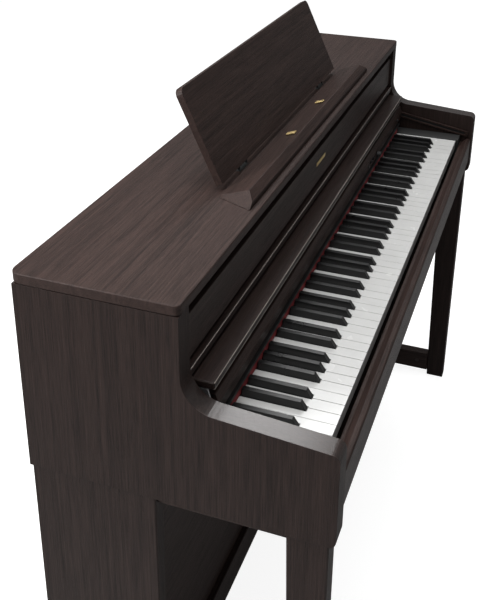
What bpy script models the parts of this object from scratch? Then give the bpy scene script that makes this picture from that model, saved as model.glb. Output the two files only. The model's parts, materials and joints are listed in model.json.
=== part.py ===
"""Digital piano on a stand, with a sliding key cover and a folding music rest.

Metres, +Z up, origin on the floor below the middle of the lid. +X is the treble end, -Y the player's side.
"""
import math

import bmesh
import bpy
from mathutils import Matrix, Vector

# Overall sizes
WIDTH = 1.377
DEPTH = 0.468
KEY_TOP = 0.743
LID_TOP = KEY_TOP + 0.225
FRONT_Y = -DEPTH / 2
REAR_Y = DEPTH / 2
GAP = 0.0003

# Case
SIDE_T = 0.034
SIDE_REAR_INSET = 0.005
LID_T = 0.016
LID_OVERHANG = 0.002
ARM_DEPTH = 0.218
ARM_REAR_Z = KEY_TOP + 0.067
ARM_FRONT_Z = KEY_TOP + 0.055
ARM_CURVE_R = 0.050
ARM_CORNER_R = 0.012
CASE_BOTTOM = KEY_TOP - 0.097
BACK_T = 0.012
KEYBED_T = 0.016
KEYBED_LIFT = 0.003
KEYBED_NOSE = 0.016
SLIP_T = 0.026
SLIP_SETBACK = 0.003
SLIP_BOTTOM = KEY_TOP - 0.066
SLIP_TOP = KEY_TOP - 0.006

# Keys: the white pitch sets the keyboard
WHITE_PITCH = 0.0235
WHITE_COUNT = 52
WHITE_GAP = 0.0009
WHITE_H = 0.022
BLACK_W = 0.0100
BLACK_TOP_W = 0.0085
BLACK_RISE = 0.012
BLACK_FRONT = 0.050
BLACK_SLOPE = 0.008
BLACK_STEM = 0.016
NOTCH_GAP = 0.0012
KEY_SHOWN = 0.1485
KEY_LENGTH = 0.2995
KEY_SETBACK = 0.036
KEY_DIP_DEG = 1.9
STEM_DROP = 0.002
WHITE_LINK = 0.030
BLACK_LINK = 0.0375
LINK_Z0 = 0.002
LINK_Z1 = 0.008
RISER_T = 0.006
PIVOT_GAP = 0.0012
FRAME_T = 0.003
STOP_SETBACK = 0.018
STOP_DEPTH = 0.028
STOP_DROP = 0.0345
POST_T = 0.024

# Hammers under the keys
HAMMER_W = 0.009
HAMMER_PIVOT_Y = 0.160
HAMMER_PIVOT_Z = -0.056
HAMMER_FINGER_Y = 0.118
HAMMER_FINGER_T = 0.008
HAMMER_FINGER_Z = -0.0235
HAMMER_ARM_T = 0.008
HAMMER_HEAD_Y = 0.235
HAMMER_END_Y = 0.285
HAMMER_HEAD_Z = -0.072
AXLE_R = 0.0025
HAMMER_CLEAR = 0.0011

# Nameboard and the strips under it
NAMEBOARD_Y = 0.147
NAMEBOARD_TOP = 0.066
NAMEBOARD_BOTTOM = 0.019
NAMEBOARD_T = 0.025
NAMEBOARD_END_GAP = 0.0145
FELT_T = 0.003
TRIM_H = 0.006

# Sliding key cover
COVER_SLOPE = math.radians(10.4)
COVER_TOP = KEY_TOP + 0.090
COVER_T = 0.012
COVER_FRONT = 0.150
COVER_BOARD_DEPTH = 0.036
COVER_LEAF_LENGTH = 0.160
COVER_LEAF_T = 0.008
LEAF_GAP = 0.0015
LEAF_STEP = 0.0012
COVER_END_GAP = 0.0065
RAIL_LENGTH = 0.192
RAIL_H = 0.014
RAIL_T = 0.005
RAIL_Z = 0.038
SLOT_H = 0.0065
SLOT_DEPTH = 0.0035
PIN_R = 0.0028
RAIL_CLEAR = 0.0008
COVER_ARM_T = 0.003

# Upper front
PANEL_Y = 0.188
PANEL_T = 0.012
PANEL_TOP = KEY_TOP + 0.186
MOULDING_Z = KEY_TOP + 0.094
MOULDING_H = 0.014
MOULDING_DEPTH = 0.014
PANEL_GAP = 0.009
EMBLEM_L = 0.060
EMBLEM_H = 0.007

# Music rest
REST_W = 0.690
REST_L = 0.170
REST_T = 0.012
REST_LEAN = math.radians(25)
REST_HINGE_RISE = 0.0075
REST_HINGE_GAP = 0.004
REST_CORNER_R = 0.012
LEDGE_W = 0.796
LEDGE_SETBACK = 0.010
LEDGE_DEPTH = 0.060
LEDGE_LIP = 0.009
LEDGE_RIDGE = 0.020
LEDGE_END_SLOPE = 1.3
HOLDER_X = 0.095
HOLDER_L = 0.018
HOLDER_W = 0.012
HOLDER_T = 0.0025
HOLDER_LIFT = 0.0006

# Controls on the nameboard
BUTTON_W = 0.010
BUTTON_H = 0.005
BUTTON_LENGTH = 0.006
BUTTON_CLEAR = 0.0004
BUTTON_PROUD = 0.0018
BUTTON_Z = 0.044
BUTTON_XS = {"tone_button": 0.262, "power_button": 0.585}
POCKET_DEPTH = 0.009
DISPLAY_X = 0.300
DISPLAY_W = 0.044
DISPLAY_H = 0.010
KNOB_X = 0.345
KNOB_R = 0.006
KNOB_L = 0.003

# Speakers and electronics
SPEAKER_X = 0.430
SPEAKER_R = 0.078
SPEAKER_HOLE_R = 0.066
SPEAKER_DEPTH = 0.048
JACKS_X = -0.590
JACK_PITCH = 0.030
JACK_R = 0.0034
INLET_X = 0.095
INLET_W = 0.040
INLET_H = 0.032
INLET_DEPTH = 0.018

# Stand
STAND_INSET = 0.004
STAND_SIDE_T = SIDE_T - 0.009
STAND_REAR_INSET = 0.006
BOARD_DEPTH = 0.200
LEG_T = 0.034
LEG_TOP_DEPTH = 0.060
LEG_FOOT_DEPTH = 0.045
LEG_SETBACK = 0.010
TOP_RAIL_H = 0.015
TOP_RAIL_INSET = 0.008
FOOT_RAIL_H = 0.053
FOOT_RAIL_Z = 0.015
KICK_Y = 0.092
KICK_T = 0.015
PLINTH_Z = 0.003
PLINTH_TOP = 0.072
PLINTH_PROUD = 0.012
PLINTH_T = 0.026
NOTCH_H = 0.028
NOTCH_W = 0.034

# Pedals
PEDAL_PITCH = 0.080
PEDAL_W = 0.026
PEDAL_T = 0.008
PEDAL_Z = 0.080
PEDAL_REACH = 0.110
PEDAL_PIVOT = 0.070
PEDAL_STEM_W = 0.014
PEDAL_BLADE_L = 0.078
BOX_HALF = 0.150
BOX_DEPTH = 0.092
BOX_TOP = 0.118
BOX_BOTTOM = 0.050
BOX_WALL = 0.004
ADJUSTER_R = 0.015

INNER_X = WIDTH / 2 - SIDE_T
SIDE_REAR_Y = REAR_Y - SIDE_REAR_INSET
KEY_FRONT_Y = FRONT_Y + KEY_SETBACK
KEYBOARD_HALF = WHITE_PITCH * WHITE_COUNT / 2
KEYBED_Z = CASE_BOTTOM + KEYBED_LIFT
KEYBED_TOP = KEYBED_Z + KEYBED_T
LID_Z = LID_TOP - LID_T
CASE_FRONT_Y = FRONT_Y + ARM_DEPTH
BACK_Y = SIDE_REAR_Y - BACK_T
STAND_X = WIDTH / 2 - STAND_INSET
STAND_INNER_X = STAND_X - STAND_SIDE_T
STAND_TOP = CASE_BOTTOM - GAP
BOARD_REAR_Y = REAR_Y - STAND_REAR_INSET
BOARD_FRONT_Y = BOARD_REAR_Y - BOARD_DEPTH
LEG_FRONT_Y = FRONT_Y + LEG_SETBACK

PARTS = bpy.data.collections.new("digital_piano")
CUTTERS = bpy.data.collections.new("cutters")


def clear_scene():
    for found in list(bpy.data.objects):
        bpy.data.objects.remove(found, do_unlink=True)
    for collection in (PARTS, CUTTERS):
        bpy.context.scene.collection.children.link(collection)


def material(name, colour, roughness, metallic=0.0):
    made = bpy.data.materials.new(name)
    made.use_nodes = True
    shader = made.node_tree.nodes["Principled BSDF"]
    shader.inputs["Base Color"].default_value = (*colour, 1.0)
    shader.inputs["Roughness"].default_value = roughness
    shader.inputs["Metallic"].default_value = metallic
    return made


WOOD = material("rosewood", (0.058, 0.044, 0.041), 0.45)
DARK_WOOD = material("dark_wood", (0.030, 0.023, 0.022), 0.5)
WHITE = material("white_key_resin", (0.82, 0.82, 0.80), 0.25)
BLACK = material("black_key_resin", (0.012, 0.012, 0.013), 0.3)
BLACK_PLASTIC = material("black_plastic", (0.015, 0.015, 0.016), 0.45)
BRASS = material("brass", (0.60, 0.45, 0.17), 0.25, 1.0)
STEEL = material("steel", (0.45, 0.45, 0.46), 0.35, 1.0)
FELT = material("red_felt", (0.22, 0.015, 0.02), 0.95)
CLOTH = material("black_cloth", (0.01, 0.01, 0.01), 0.9)
BOARD = material("circuit_board", (0.02, 0.12, 0.05), 0.5)
GLASS = material("display_window", (0.02, 0.03, 0.05), 0.1)


def add(name, mesh, look, collection=PARTS):
    made = bpy.data.objects.new(name, mesh)
    collection.objects.link(made)
    mesh.materials.clear()
    mesh.materials.append(look)
    return made


def boxes_mesh(name, bounds):
    """One mesh of separate boxes, each given as (x0, x1, y0, y1, z0, z1)."""
    bm = bmesh.new()
    for x0, x1, y0, y1, z0, z1 in bounds:
        size = Vector((x1 - x0, y1 - y0, z1 - z0))
        middle = Vector((x0 + x1, y0 + y1, z0 + z1)) / 2
        place = Matrix.Translation(middle) @ Matrix.Diagonal((*size, 1.0))
        bmesh.ops.create_cube(bm, size=1.0, matrix=place)
    mesh = bpy.data.meshes.new(name)
    bm.to_mesh(mesh)
    bm.free()
    return mesh


def box(name, bounds, look, bevel=0.0):
    made = add(name, boxes_mesh(name, [bounds]), look)
    if bevel:
        round_edges(made, bevel)
    return made


def mirrored(bounds):
    """The box and its twin across the middle of the piano."""
    x0, x1, *rest = bounds
    return [bounds, (-x1, -x0, *rest)]


def box_pair(name, bounds, look, bevel=0.0):
    """The same box at both ends of the piano."""
    right, left = mirrored(bounds)
    return [box(name + "_left", left, look, bevel), box(name + "_right", right, look, bevel)]


def round_edges(made, width, segments=1):
    bevel = made.modifiers.new("rounded_edges", "BEVEL")
    bevel.width = width
    bevel.segments = segments
    bevel.limit_method = "ANGLE"
    bevel.angle_limit = math.radians(40)
    bevel.harden_normals = False


def outlines_mesh(name, outlines, thickness):
    """Flat closed outlines in local XY, each made a slab centred on local Z."""
    curve = bpy.data.curves.new(name, "CURVE")
    curve.dimensions = "2D"
    curve.fill_mode = "BOTH"
    curve.extrude = thickness / 2
    for points in outlines:
        spline = curve.splines.new("POLY")
        spline.points.add(len(points) - 1)
        for point, (a, b) in zip(spline.points, points):
            point.co = (a, b, 0.0, 1.0)
        spline.use_cyclic_u = True
    guide = bpy.data.objects.new(name, curve)
    PARTS.objects.link(guide)
    bpy.context.view_layer.update()
    evaluated = guide.evaluated_get(bpy.context.evaluated_depsgraph_get())
    mesh = bpy.data.meshes.new_from_object(evaluated)
    bm = bmesh.new()
    bm.from_mesh(mesh)
    bmesh.ops.remove_doubles(bm, verts=bm.verts, dist=0.00001)
    bmesh.ops.recalc_face_normals(bm, faces=bm.faces)
    bm.to_mesh(mesh)
    bm.free()
    bpy.data.objects.remove(guide, do_unlink=True)
    bpy.data.curves.remove(curve)
    return mesh


# Turns local XY into world YZ, with local Z along world X.
SIDEWAYS = Matrix(((0, 0, 1, 0), (1, 0, 0, 0), (0, 1, 0, 0), (0, 0, 0, 1)))
# Turns local XY into world XZ, with local Z along world -Y.
UPRIGHT = Matrix.Rotation(math.radians(90), 4, "X")


def side_profile(name, outline, x0, x1, look):
    """A (y, z) outline carried along X from x0 to x1."""
    mesh = outlines_mesh(name, [outline], x1 - x0)
    mesh.transform(Matrix.Translation(((x0 + x1) / 2, 0, 0)) @ SIDEWAYS)
    return add(name, mesh, look)


def profile_pair(name, outline, x0, x1, look):
    """The same profile at both ends of the piano, from x0 to x1 and mirrored."""
    left = side_profile(name + "_left", outline, -x1, -x0, look)
    return [left, side_profile(name + "_right", outline, x0, x1, look)]


def joined_row(name, mesh, offsets, link, look):
    """Copies of one mesh made one body by a link that runs through them all."""
    bm = bmesh.new()
    for offset in offsets:
        before = len(bm.verts)
        bm.from_mesh(mesh)
        bm.verts.ensure_lookup_table()
        bmesh.ops.translate(bm, vec=offset, verts=bm.verts[before:])
    joined = bpy.data.meshes.new(name)
    bm.to_mesh(joined)
    bm.free()
    bpy.data.meshes.remove(mesh)
    made = add(name, joined, look)
    cut(made, link, "UNION")
    return made


def cylinders_mesh(name, places, radius, length, axis, vertices=16):
    bm = bmesh.new()
    turn = {"X": ("Y", 90), "Y": ("X", 90), "Z": ("Z", 0)}[axis]
    spin = Matrix.Rotation(math.radians(turn[1]), 4, turn[0])
    for place in places:
        bmesh.ops.create_cone(bm, cap_ends=True, segments=vertices, radius1=radius, radius2=radius,
                              depth=length, matrix=Matrix.Translation(place) @ spin)
    mesh = bpy.data.meshes.new(name)
    bm.to_mesh(mesh)
    bm.free()
    mesh.shade_smooth()
    mesh.set_sharp_from_angle(angle=math.radians(40))
    return mesh


def cut(target, mesh, operation="DIFFERENCE"):
    cutter = add(target.name + "_cutter", mesh, WOOD, CUTTERS)
    cutter.hide_render = True
    cutter.display_type = "WIRE"
    boolean = target.modifiers.new("cut", "BOOLEAN")
    boolean.operation = operation
    boolean.solver = "EXACT"
    boolean.object = cutter


def set_origin(made, point):
    """Puts the object's origin on its joint's axis, its shape staying where it is."""
    made.data.transform(Matrix.Translation(-Vector(point)))
    made.location = point


def apply_cuts(made):
    """Makes the object's evaluated shape its own mesh, so that its origin can be moved."""
    bpy.context.view_layer.update()
    evaluated = made.evaluated_get(bpy.context.evaluated_depsgraph_get())
    mesh = bpy.data.meshes.new_from_object(evaluated)
    made.modifiers.clear()
    made.data = mesh


def arc(centre, radius, start, end, steps):
    points = []
    for step in range(steps + 1):
        angle = math.radians(start + (end - start) * step / steps)
        points.append((centre[0] + radius * math.cos(angle), centre[1] + radius * math.sin(angle)))
    return points


def side_panels():
    arm_slope = math.degrees(math.atan2(ARM_REAR_Z - ARM_FRONT_Z, ARM_DEPTH))
    curve_y = CASE_FRONT_Y - ARM_CURVE_R
    front_y = FRONT_Y + ARM_CORNER_R
    outline = [(SIDE_REAR_Y, CASE_BOTTOM), (SIDE_REAR_Y, LID_Z - GAP), (CASE_FRONT_Y, LID_Z - GAP)]
    outline += arc((curve_y, ARM_REAR_Z + ARM_CURVE_R), ARM_CURVE_R, 0, -90 + arm_slope, 16)
    outline += arc((front_y, ARM_FRONT_Z - ARM_CORNER_R), ARM_CORNER_R, 90, 180, 6)
    outline += arc((front_y, CASE_BOTTOM + ARM_CORNER_R), ARM_CORNER_R, 180, 270, 6)
    profile_pair("side_panel", outline, INNER_X, WIDTH / 2, WOOD)


def case():
    inner = INNER_X - GAP
    lid_front = CASE_FRONT_Y - LID_OVERHANG
    box("top_lid", (-WIDTH / 2, WIDTH / 2, lid_front, REAR_Y, LID_Z, LID_TOP), WOOD, 0.003)
    keybed_front = KEY_FRONT_Y - KEYBED_NOSE
    box("keybed", (-inner, inner, keybed_front, BACK_Y - GAP, KEYBED_Z, KEYBED_TOP), DARK_WOOD)
    back = box("back_panel", (-inner, inner, BACK_Y, SIDE_REAR_Y, KEYBED_Z, LID_Z - GAP), DARK_WOOD)
    holes = [(side * SPEAKER_X, BACK_Y + BACK_T / 2, speaker_z()) for side in (-1, 1)]
    cut(back, cylinders_mesh("speaker_holes", holes, SPEAKER_HOLE_R, BACK_T * 2, "Y", 32))
    x0, x1, y0, y1, z0, z1 = inlet_bounds()
    cut(back, boxes_mesh("inlet_hole", [(x0 - GAP, x1 + GAP, y0, y1, z0 - GAP, z1 + GAP)]))
    slip_y = FRONT_Y + SLIP_SETBACK
    slip = [(slip_y, SLIP_BOTTOM), (slip_y, SLIP_TOP - 0.002), (slip_y + 0.002, SLIP_TOP),
            (slip_y + 0.010, SLIP_TOP), (slip_y + 0.020, SLIP_TOP - 0.010),
            (slip_y + SLIP_T, SLIP_TOP - 0.010), (slip_y + SLIP_T, KEYBED_TOP + GAP),
            (slip_y + 0.014, KEYBED_TOP + GAP), (slip_y + 0.014, SLIP_BOTTOM)]
    side_profile("key_slip", slip, -inner, inner, WOOD)
    cheeks = (KEYBOARD_HALF + 0.0012, inner, KEY_FRONT_Y - 0.006, KEY_FRONT_Y + KEY_LENGTH,
              KEYBED_TOP + GAP, KEY_TOP + 0.002)
    box_pair("cheek_block", cheeks, BLACK_PLASTIC, 0.001)


def inlet_bounds():
    """The power inlet's body, let into the back panel and a little proud of it."""
    low = KEYBED_TOP + 0.015
    return (INLET_X, INLET_X + INLET_W, BACK_Y - 0.010, SIDE_REAR_Y + 0.003, low, low + INLET_H)


def speaker_z():
    return (KEYBED_TOP + LID_Z) / 2


def upper_front():
    inner = INNER_X - GAP
    panel_y = KEY_FRONT_Y + PANEL_Y
    panel_z = MOULDING_Z + MOULDING_H + PANEL_GAP
    panel = box("upper_front_panel", (-inner, inner, panel_y, panel_y + PANEL_T, panel_z, PANEL_TOP), WOOD)
    pocket_z = panel_z + (PANEL_TOP - panel_z) * 0.58
    inlay = (-EMBLEM_L / 2, EMBLEM_L / 2, panel_y - 0.0004, panel_y + 0.001,
             pocket_z - EMBLEM_H / 2, pocket_z + EMBLEM_H / 2)
    bed = (inlay[0] - GAP, inlay[1] + GAP, panel_y - 0.001, panel_y + 0.0013, inlay[4] - GAP, inlay[5] + GAP)
    cut(panel, boxes_mesh("inlay_bed", [bed]))
    box("emblem_inlay", inlay, BRASS)
    cloth_y = panel_y + PANEL_T - 0.004
    box("sound_slot_cloth", (-inner, inner, cloth_y, cloth_y + 0.004, PANEL_TOP + GAP, LID_Z - GAP), CLOTH)
    moulding_y = panel_y - 0.006
    moulding = (-inner, inner, moulding_y, moulding_y + MOULDING_DEPTH, MOULDING_Z, MOULDING_Z + MOULDING_H)
    box("panel_moulding", moulding, WOOD, 0.002)


def black_keys_in_octave():
    """Offset of each black key's middle from its octave's C edge, with the white keys beside it."""
    shift = WHITE_PITCH * 0.125
    return [(1 * WHITE_PITCH - shift, 0), (2 * WHITE_PITCH + shift, 1), (4 * WHITE_PITCH - shift * 1.2, 3),
            (5 * WHITE_PITCH, 4), (6 * WHITE_PITCH + shift * 1.2, 5)]


def black_middles():
    """Middle X of every black key, keyed by the number of the white key on its bass side."""
    middles = {}
    for octave in range(-1, 8):
        first_white = 2 + octave * 7
        for offset, step in black_keys_in_octave():
            white = first_white + step
            if 0 <= white < WHITE_COUNT - 1:
                middles[white] = -KEYBOARD_HALF + first_white * WHITE_PITCH + offset
    return middles


def registers():
    """Each register's name with its first white key and the first one after it: A0-B2, C3-B5 and C6-C8."""
    return [("bass", 0, 16), ("middle", 16, 37), ("treble", 37, WHITE_COUNT)]


def white_outline(white, blacks):
    left = -KEYBOARD_HALF + white * WHITE_PITCH + WHITE_GAP / 2
    right = left + WHITE_PITCH - WHITE_GAP
    front = KEY_FRONT_Y
    rear = KEY_FRONT_Y + KEY_LENGTH
    notch = KEY_FRONT_Y + BLACK_FRONT - NOTCH_GAP
    half = BLACK_W / 2 + NOTCH_GAP
    points = [(left, front), (right, front)]
    if white in blacks:
        cut_x = blacks[white] - half
        points += [(right, notch), (cut_x, notch), (cut_x, rear)]
    else:
        points.append((right, rear))
    if white - 1 in blacks:
        cut_x = blacks[white - 1] + half
        points += [(cut_x, rear), (cut_x, notch), (left, notch)]
    else:
        points.append((left, rear))
    return points


def white_keys():
    blacks = black_middles()
    for register, first, last in registers():
        name = f"white_keys_{register}"
        mesh = outlines_mesh(name, [white_outline(white, blacks) for white in range(first, last)], WHITE_H)
        mesh.transform(Matrix.Translation((0, 0, KEY_TOP - WHITE_H / 2)))
        made = add(name, mesh, WHITE)
        x0, x1 = register_span(first, last)
        rear = KEY_FRONT_Y + KEY_LENGTH
        link = (x0, x1, rear - WHITE_LINK, rear - 0.0005, KEY_TOP - WHITE_H + 0.001, KEY_TOP - 0.001)
        cut(made, boxes_mesh(name + "_link", [link]), "UNION")
        apply_cuts(made)
        set_origin(made, key_axis(first, last))


def register_span(first, last):
    """The ends of the hidden bar that joins a register's keys."""
    inset = WHITE_PITCH / 2
    return (-KEYBOARD_HALF + first * WHITE_PITCH + inset, -KEYBOARD_HALF + last * WHITE_PITCH - inset)


def key_axis(first, last):
    middle = -KEYBOARD_HALF + (first + last) / 2 * WHITE_PITCH
    return (middle, KEY_FRONT_Y + KEY_LENGTH, KEY_TOP - WHITE_H / 2)


def black_key_mesh(name):
    front = KEY_FRONT_Y + BLACK_FRONT
    shown = KEY_FRONT_Y + KEY_SHOWN
    rear = KEY_FRONT_Y + KEY_LENGTH
    low = KEY_TOP - BLACK_STEM
    riser = rear - BLACK_LINK
    outline = [(front, low), (front, KEY_TOP), (front + BLACK_SLOPE, KEY_TOP + BLACK_RISE),
               (shown, KEY_TOP + BLACK_RISE), (shown, KEY_TOP - STEM_DROP),
               (riser - RISER_T, KEY_TOP - STEM_DROP), (riser - RISER_T, KEY_TOP + LINK_Z1),
               (rear, KEY_TOP + LINK_Z1), (rear, KEY_TOP + LINK_Z0),
               (riser, KEY_TOP + LINK_Z0), (riser, low)]
    mesh = outlines_mesh(name, [outline], BLACK_W)
    mesh.transform(SIDEWAYS)
    for vertex in mesh.vertices:
        if vertex.co.z > KEY_TOP + BLACK_RISE - 0.001:
            vertex.co.x *= BLACK_TOP_W / BLACK_W
    return mesh


def black_keys():
    blacks = black_middles()
    for register, first, last in registers():
        name = f"black_keys_{register}"
        offsets = [(blacks[white], 0, 0) for white in range(first, last) if white in blacks]
        rear = KEY_FRONT_Y + KEY_LENGTH
        link = (offsets[0][0], offsets[-1][0], rear - BLACK_LINK + 0.0005, rear - 0.0005,
                KEY_TOP + LINK_Z0 + 0.0005, KEY_TOP + LINK_Z1 - 0.0005)
        made = joined_row(name, black_key_mesh(name), offsets, boxes_mesh(name + "_link", [link]), BLACK)
        apply_cuts(made)
        set_origin(made, key_axis(first, last))


def hammers():
    blacks = black_middles()
    pivot_y = KEY_FRONT_Y + HAMMER_PIVOT_Y
    pivot_z = KEY_TOP + HAMMER_PIVOT_Z
    half = HAMMER_ARM_T / 2
    finger = KEY_FRONT_Y + HAMMER_FINGER_Y
    outline = [(finger, KEY_TOP + HAMMER_FINGER_Z), (finger + HAMMER_FINGER_T, KEY_TOP + HAMMER_FINGER_Z),
               (finger + HAMMER_FINGER_T, pivot_z + half), (KEY_FRONT_Y + HAMMER_END_Y, pivot_z + half),
               (KEY_FRONT_Y + HAMMER_END_Y, KEY_TOP + HAMMER_HEAD_Z),
               (KEY_FRONT_Y + HAMMER_HEAD_Y, KEY_TOP + HAMMER_HEAD_Z),
               (KEY_FRONT_Y + HAMMER_HEAD_Y, pivot_z - half), (finger, pivot_z - half)]
    for register, first, last in registers():
        count = last - first + len([white for white in blacks if first <= white < last])
        pitch = WHITE_PITCH * (last - first) / count
        start = -KEYBOARD_HALF + first * WHITE_PITCH
        name = f"hammers_{register}"
        mesh = outlines_mesh(name, [outline], HAMMER_W)
        mesh.transform(SIDEWAYS)
        places = [start + (step + 0.5) * pitch for step in range(count)]
        middle = (places[0] + places[-1]) / 2
        centre = (middle, pivot_y, pivot_z)
        axle = cylinders_mesh(name + "_axle", [centre], AXLE_R, places[-1] - places[0], "X", 8)
        made = joined_row(name, mesh, [(x, 0, 0) for x in places], axle, STEEL)
        apply_cuts(made)
        set_origin(made, centre)


def key_frame():
    """A tray under the keys: front stop, hammer rail, and the post that holds the keys' pivots."""
    floor = KEYBED_TOP + GAP
    tray = floor + FRAME_T
    front = KEY_FRONT_Y + STOP_SETBACK
    stop_rear = front + STOP_DEPTH
    stop_top = KEY_TOP - STOP_DROP
    post = KEY_FRONT_Y + KEY_LENGTH + PIVOT_GAP
    post_rear = post + POST_T
    post_top = KEY_TOP - 0.004
    rail_y = KEY_FRONT_Y + HAMMER_PIVOT_Y
    rail_top = KEY_TOP + HAMMER_PIVOT_Z - HAMMER_ARM_T / 2 - HAMMER_CLEAR
    outline = [(front, floor), (post_rear, floor), (post_rear, post_top), (post, post_top), (post, tray),
               (rail_y + 0.004, tray), (rail_y + 0.004, rail_top), (rail_y - 0.004, rail_top),
               (rail_y - 0.004, tray), (stop_rear, tray), (stop_rear, stop_top), (front, stop_top)]
    side_profile("key_frame", outline, -KEYBOARD_HALF, KEYBOARD_HALF, STEEL)


def nameboard():
    half = INNER_X - NAMEBOARD_END_GAP
    y0 = KEY_FRONT_Y + NAMEBOARD_Y
    top = KEY_TOP + NAMEBOARD_TOP
    bottom = KEY_TOP + NAMEBOARD_BOTTOM
    rear = y0 + NAMEBOARD_T
    outline = [(y0 + 0.005, top), (y0, top - 0.013), (y0, top - 0.030), (y0 + 0.009, bottom),
               (rear, bottom), (rear, top)]
    made = side_profile("nameboard", outline, -half, half, WOOD)
    pockets = []
    for x, width, height in pocket_places():
        z = KEY_TOP + BUTTON_Z
        clear = BUTTON_CLEAR
        pockets.append((x - width / 2 - clear, x + width / 2 + clear, y0 - 0.001, y0 + POCKET_DEPTH,
                        z - height / 2 - clear, z + height / 2 + clear))
    cut(made, boxes_mesh("control_pockets", pockets))
    shown = KEY_FRONT_Y + KEY_SHOWN
    felt = (-KEYBOARD_HALF, KEYBOARD_HALF, shown + 0.0015, shown + 0.0015 + FELT_T,
            KEY_TOP + 0.0015, bottom - TRIM_H - GAP)
    box("nameboard_felt", felt, FELT)
    trim = (-half, half, shown + 0.0015, shown + 0.007, bottom - TRIM_H, bottom - GAP)
    box("nameboard_trim", trim, BLACK_PLASTIC)


def pocket_places():
    places = [(x, BUTTON_W, BUTTON_H) for x in BUTTON_XS.values()]
    places.append((DISPLAY_X, DISPLAY_W, DISPLAY_H))
    return places


def controls():
    face = KEY_FRONT_Y + NAMEBOARD_Y
    z = KEY_TOP + BUTTON_Z
    front = face - BUTTON_PROUD
    for name, x in BUTTON_XS.items():
        bounds = (x - BUTTON_W / 2, x + BUTTON_W / 2, front, front + BUTTON_LENGTH,
                  z - BUTTON_H / 2, z + BUTTON_H / 2)
        made = box(name, bounds, BLACK_PLASTIC)
        set_origin(made, (x, face, z))
    box("display_window", (DISPLAY_X - DISPLAY_W / 2, DISPLAY_X + DISPLAY_W / 2, face + 0.001, face + 0.007,
                           z - DISPLAY_H / 2, z + DISPLAY_H / 2), GLASS)
    middle = (KNOB_X, face - GAP - KNOB_L / 2, z)
    knob = add("volume_knob", cylinders_mesh("volume_knob", [middle], KNOB_R, KNOB_L, "Y", 24), BLACK_PLASTIC)
    set_origin(knob, middle)


def slope_matrix():
    """Turns a piece down towards the player by the slope of the cover's slide."""
    return Matrix.Rotation(COVER_SLOPE, 4, "X")


def key_cover():
    half = INNER_X - COVER_END_GAP
    front = KEY_FRONT_Y + COVER_FRONT
    rear = front + COVER_BOARD_DEPTH
    box("cover_front_board", (-half, half, front, rear, COVER_TOP - COVER_T, COVER_TOP), WOOD, 0.002)
    leaf_half = half - 0.008
    leaf = box("cover_rear_leaf", (-leaf_half, leaf_half, 0, COVER_LEAF_LENGTH, 0, COVER_LEAF_T), DARK_WOOD)
    place = Matrix.Translation((0, rear + LEAF_GAP, COVER_TOP - COVER_T + LEAF_STEP))
    leaf.data.transform(place @ slope_matrix())
    cover_arms(rear)
    cover_rails()


def rail_point(along, across=0.0):
    """A place on the cover's rail: so far from its player end, so far above its middle line."""
    start = Vector((0, KEY_FRONT_Y - 0.024, KEY_TOP + RAIL_Z - math.tan(COVER_SLOPE) * (NAMEBOARD_Y + 0.024)))
    return start + slope_matrix() @ Vector((0, along, across))


def pin_place():
    return rail_point(RAIL_LENGTH - 0.010)


def cover_arms(rear):
    """A bracket at each end of the cover, from under its board down to a pin in the rail."""
    pin = pin_place()
    under = COVER_TOP - COVER_T - GAP
    outline = [(rear - 0.004, under), (rear - 0.026, under)]
    outline += arc((pin.y, pin.z), 0.007, 200, 340, 5)
    inner = INNER_X - RAIL_T - GAP - RAIL_CLEAR - COVER_ARM_T
    arms = profile_pair("cover_arm", outline, inner, inner + COVER_ARM_T, STEEL)
    x0 = inner + COVER_ARM_T / 2
    x1 = INNER_X - GAP - RAIL_T + SLOT_DEPTH - RAIL_CLEAR
    for side, arm in zip((-1, 1), arms):
        middle = (side * (x0 + x1) / 2, pin.y, pin.z)
        cut(arm, cylinders_mesh("cover_pin", [middle], PIN_R, x1 - x0, "X", 12), "UNION")


def cover_rails():
    outer = INNER_X - GAP
    face = outer - RAIL_T
    rail = (face, outer, 0, RAIL_LENGTH, -RAIL_H / 2, RAIL_H / 2)
    slot = (face - 0.001, face + SLOT_DEPTH, 0.006, RAIL_LENGTH - 0.004, -SLOT_H / 2, SLOT_H / 2)
    place = Matrix.Translation(rail_point(0)) @ slope_matrix()
    slots = boxes_mesh("rail_slots", mirrored(slot))
    slots.transform(place)
    for made in box_pair("cover_rail", rail, BLACK_PLASTIC):
        made.data.transform(place)
        cut(made, slots.copy())
    bpy.data.meshes.remove(slots)


def music_ledge():
    front = CASE_FRONT_Y + LEDGE_SETBACK
    z0 = LID_TOP + GAP
    outline = [(front, z0), (front, z0 + LEDGE_LIP), (front + 0.012, z0 + LEDGE_RIDGE),
               (front + LEDGE_DEPTH, z0 + 0.004), (front + LEDGE_DEPTH, z0)]
    made = side_profile("music_ledge", outline, -LEDGE_W / 2, LEDGE_W / 2, WOOD)
    for vertex in made.data.vertices:
        inward = (vertex.co.z - z0) * LEDGE_END_SLOPE + (vertex.co.y - front) * 0.45
        vertex.co.x -= math.copysign(inward, vertex.co.x)
    slope = math.atan2(LEDGE_RIDGE - 0.004, LEDGE_DEPTH - 0.012)
    for name, x in (("page_holder_left", -HOLDER_X), ("page_holder_right", HOLDER_X)):
        y = front + 0.020
        z = z0 + LEDGE_RIDGE - math.tan(slope) * 0.008
        tilt = Matrix.Rotation(-slope, 4, "X")
        bounds = (-HOLDER_W / 2, HOLDER_W / 2, 0, HOLDER_L, HOLDER_LIFT, HOLDER_LIFT + HOLDER_T)
        holder = box(name, bounds, BRASS, 0.0006)
        holder.data.transform(tilt)
        holder.location = (x, y, z)


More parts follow.
